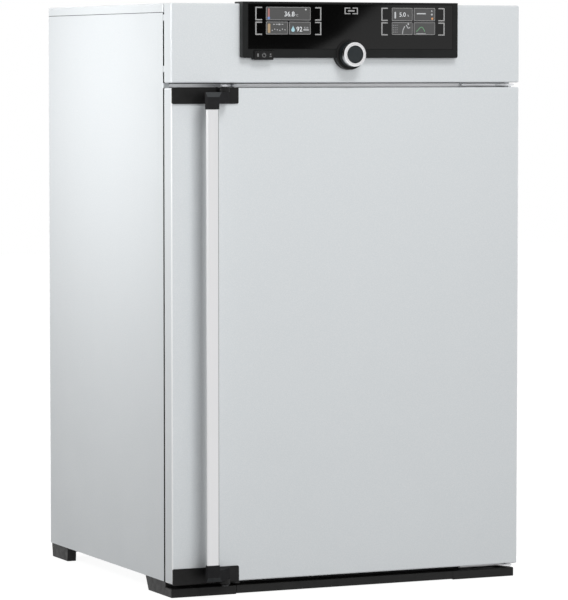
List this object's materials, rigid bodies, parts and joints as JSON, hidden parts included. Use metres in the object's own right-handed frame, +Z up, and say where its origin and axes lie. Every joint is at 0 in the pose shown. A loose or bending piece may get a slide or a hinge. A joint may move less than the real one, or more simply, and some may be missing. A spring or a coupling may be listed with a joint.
{
  "type": "carbon dioxide incubator",
  "caption": "Floor or bench standing carbon dioxide incubator: steel cabinet with a hinged front door and bar handle, inner glass door, slotted shelves and control panel.",
  "frame": {"origin": "middle of the footprint, handle included, on the floor", "axes": "+X to the right seen from the front, +Y to the rear, +Z up"},
  "size_m": [0.779, 0.747, 1.1923],
  "materials": {
    "embossed_steel": "textured stainless steel, fine linen embossing",
    "plain_steel": "zinc-plated or plain sheet",
    "polished_steel": "polished stainless steel",
    "chrome_ring": "satin chrome",
    "black_plastic": "fine-grained moulding",
    "anthracite_plastic": "satin moulding",
    "black_glass": "glossy, back-printed black",
    "display": "display window",
    "clear_glass": "clear tempered glass",
    "silicone": "soft matte seal",
    "mineral_wool": "pressed mineral wool",
    "circuit_board": "printed circuit board",
    "brass": "turned brass",
    "white_metal": "turned or pressed light alloy"
  },
  "bodies": {
    "cabinet": {"left_side_panel": "embossed_steel", "right_side_panel": "embossed_steel", "top_cover": "embossed_steel", "rear_panel": "plain_steel", "floor_pan": "plain_steel", "front_frame": "plain_steel", "header_panel": "embossed_steel", "cockpit_housing": "anthracite_plastic", "cockpit_glass": "black_glass", "display_left": "display", "display_right": "display", "knob_bezel": "black_plastic", "control_board": "circuit_board", "insulation_jacket": "mineral_wool", "inner_chamber": "polished_steel", "chamber_seal": "silicone", "shelf_lower": "polished_steel", "shelf_middle": "polished_steel", "shelf_upper": "polished_steel", "sensor_probe": "white_metal", "gas_inlet": "brass", "gas_valve": "brass", "mains_inlet": "black_plastic", "power_supply": "plain_steel", "foot_front_left": "black_plastic", "foot_front_right": "black_plastic", "foot_rear_left": "black_plastic", "foot_rear_right": "black_plastic", "front_plinth": "black_plastic", "rear_crossbar": "black_plastic", "hinge_plate_upper": "plain_steel", "hinge_plate_lower": "plain_steel", "strike_upper": "plain_steel", "strike_lower": "plain_steel", "inner_hinge_post_upper": "polished_steel", "inner_hinge_post_lower": "polished_steel", "fan_cover": "polished_steel", "fan_motor": "plain_steel"},
    "door": {"door_outer_skin": "embossed_steel", "door_insulation": "mineral_wool", "door_liner": "polished_steel", "door_gasket": "silicone", "door_bush_upper": "brass", "door_bush_lower": "brass", "handle_bracket_upper": "black_plastic", "handle_bracket_lower": "black_plastic"},
    "handle": {"handle_bar": "embossed_steel", "handle_arm_upper": "black_plastic", "handle_arm_lower": "black_plastic", "latch_lever_upper": "polished_steel", "latch_lever_lower": "polished_steel"},
    "inner_door": {"inner_glass_door": "clear_glass", "inner_hinge_clamp_upper": "polished_steel", "inner_hinge_clamp_lower": "polished_steel"},
    "inner_latch": {"inner_latch": "black_plastic"},
    "knob_slider": {"knob_spindle": "plain_steel"},
    "knob": {"knob_body": "anthracite_plastic", "knob_ring": "chrome_ring"},
    "power_key": {"power_key": "black_plastic"},
    "fan": {"fan_rotor": "white_metal"}
  },
  "joints": [
    {"name": "door_swing", "type": "hinge", "parent": "cabinet", "child": "door", "pos_m": [0.3755, -0.2992, 0.5], "axis": [0, 0, 1], "range_deg": [0, 180]},
    {"name": "handle_turn", "type": "hinge", "parent": "door", "child": "handle", "pos_m": [-0.2815, -0.332, 0.5], "axis": [0, 0, 1], "range_deg": [0, 60]},
    {"name": "inner_door_swing", "type": "hinge", "parent": "cabinet", "child": "inner_door", "pos_m": [0.317, -0.271, 0.5], "axis": [0, 0, 1], "range_deg": [0, 90]},
    {"name": "inner_latch_turn", "type": "hinge", "parent": "inner_door", "child": "inner_latch", "pos_m": [-0.3, -0.2644, 0.52], "axis": [0, -1, 0], "range_deg": [0, 90]},
    {"name": "knob_push", "type": "slide", "parent": "cabinet", "child": "knob_slider", "axis": [0, 1, 0], "range_m": [0, 0.0015], "stiffness_N_per_m": 800},
    {"name": "knob_turn", "type": "hinge", "parent": "knob_slider", "child": "knob", "pos_m": [-0.0048, -0.3325, 1.0872], "axis": [0, -1, 0], "continuous": true},
    {"name": "power_key_push", "type": "slide", "parent": "cabinet", "child": "power_key", "axis": [0, 1, 0], "range_m": [0, 0.0015], "stiffness_N_per_m": 800},
    {"name": "fan_spin", "type": "hinge", "parent": "cabinet", "child": "fan", "pos_m": [0, 0.2445, 0.74], "axis": [0, -1, 0], "continuous": true}
  ],
  "couplings": [
    {"joint": "inner_door_swing", "follows": "door_swing", "ratio": 0.5}
  ]
}
